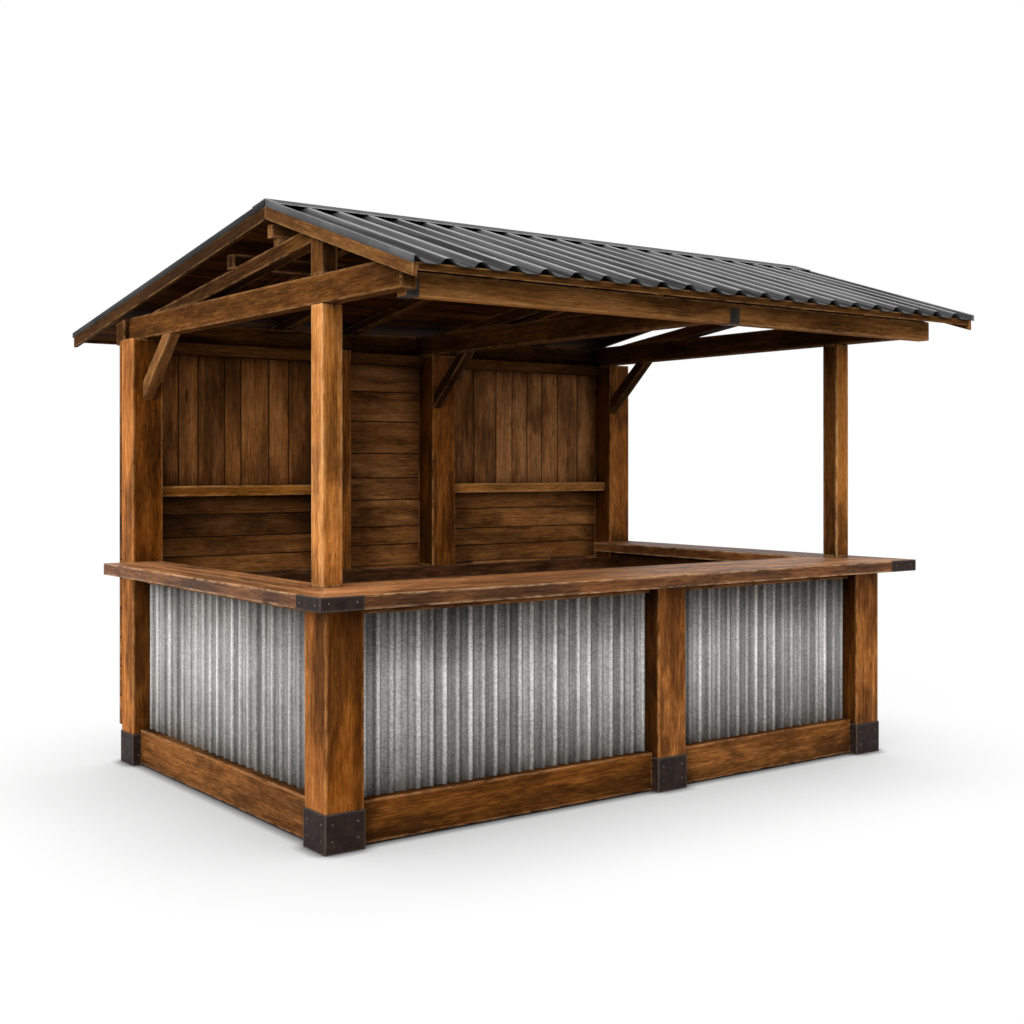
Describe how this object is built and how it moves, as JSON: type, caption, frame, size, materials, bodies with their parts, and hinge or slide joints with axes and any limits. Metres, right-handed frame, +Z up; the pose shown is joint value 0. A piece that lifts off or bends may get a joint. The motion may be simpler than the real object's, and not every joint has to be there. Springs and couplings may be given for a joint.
{
  "type": "market stall",
  "caption": "Open timber market stall with corrugated metal sides, a plank counter on three sides, a boarded back wall and a ribbed metal gable roof on posts.",
  "frame": {"origin": "on the floor, in the middle of the outline seen from above", "axes": "+X along the front to the right as a customer sees it, +Y towards the back wall, +Z up"},
  "size_m": [3.72, 3.78, 2.8153],
  "materials": {
    "posts_timber": "stained, satin",
    "counter_timber": "stained, satin",
    "wall_timber": "stained, matt",
    "roof_timber": "stained, matt",
    "trim_timber": "stained, matt",
    "galvanised_sheet": "galvanised, spangled, dull",
    "roof_sheet": "dark grey coating, satin",
    "dark_steel": "blackened, satin",
    "strap_steel": "galvanised, dull"
  },
  "bodies": {
    "root": {"front_left_lower_post": "posts_timber", "front_middle_lower_post": "posts_timber", "front_right_lower_post": "posts_timber", "front_upper_posts": "posts_timber", "back_left_post": "posts_timber", "back_middle_posts": "posts_timber", "back_right_post": "posts_timber", "front_bottom_rails": "posts_timber", "end_bottom_rails": "posts_timber", "back_bottom_rails": "posts_timber", "top_rails": "posts_timber", "front_counter": "counter_timber", "left_counter": "counter_timber", "right_counter": "counter_timber", "back_ledge": "counter_timber", "back_shelves": "counter_timber", "inner_lining": "wall_timber", "left_wall_lower_boards": "wall_timber", "left_wall_upper_boards": "wall_timber", "middle_wall_boards": "wall_timber", "right_wall_lower_boards": "wall_timber", "right_wall_upper_boards": "wall_timber", "back_top_plates": "wall_timber", "left_tie_beam": "roof_timber", "middle_tie_beam": "roof_timber", "right_tie_beam": "roof_timber", "knee_braces": "roof_timber", "truss_members": "roof_timber", "ridge_beam": "roof_timber", "back_purlin": "roof_timber", "rafters": "roof_timber", "front_eave_beam": "roof_timber", "back_eave_beam": "roof_timber", "front_roof_boards": "roof_timber", "back_roof_boards": "roof_timber", "barge_boards": "trim_timber", "eave_fascias": "trim_timber", "front_panels": "galvanised_sheet", "end_panels": "galvanised_sheet", "front_roof_sheet": "roof_sheet", "back_roof_sheet": "roof_sheet", "ridge_cap": "roof_sheet", "post_shoes": "dark_steel", "counter_brackets": "dark_steel", "eave_straps": "strap_steel"}
  },
  "joints": []
}
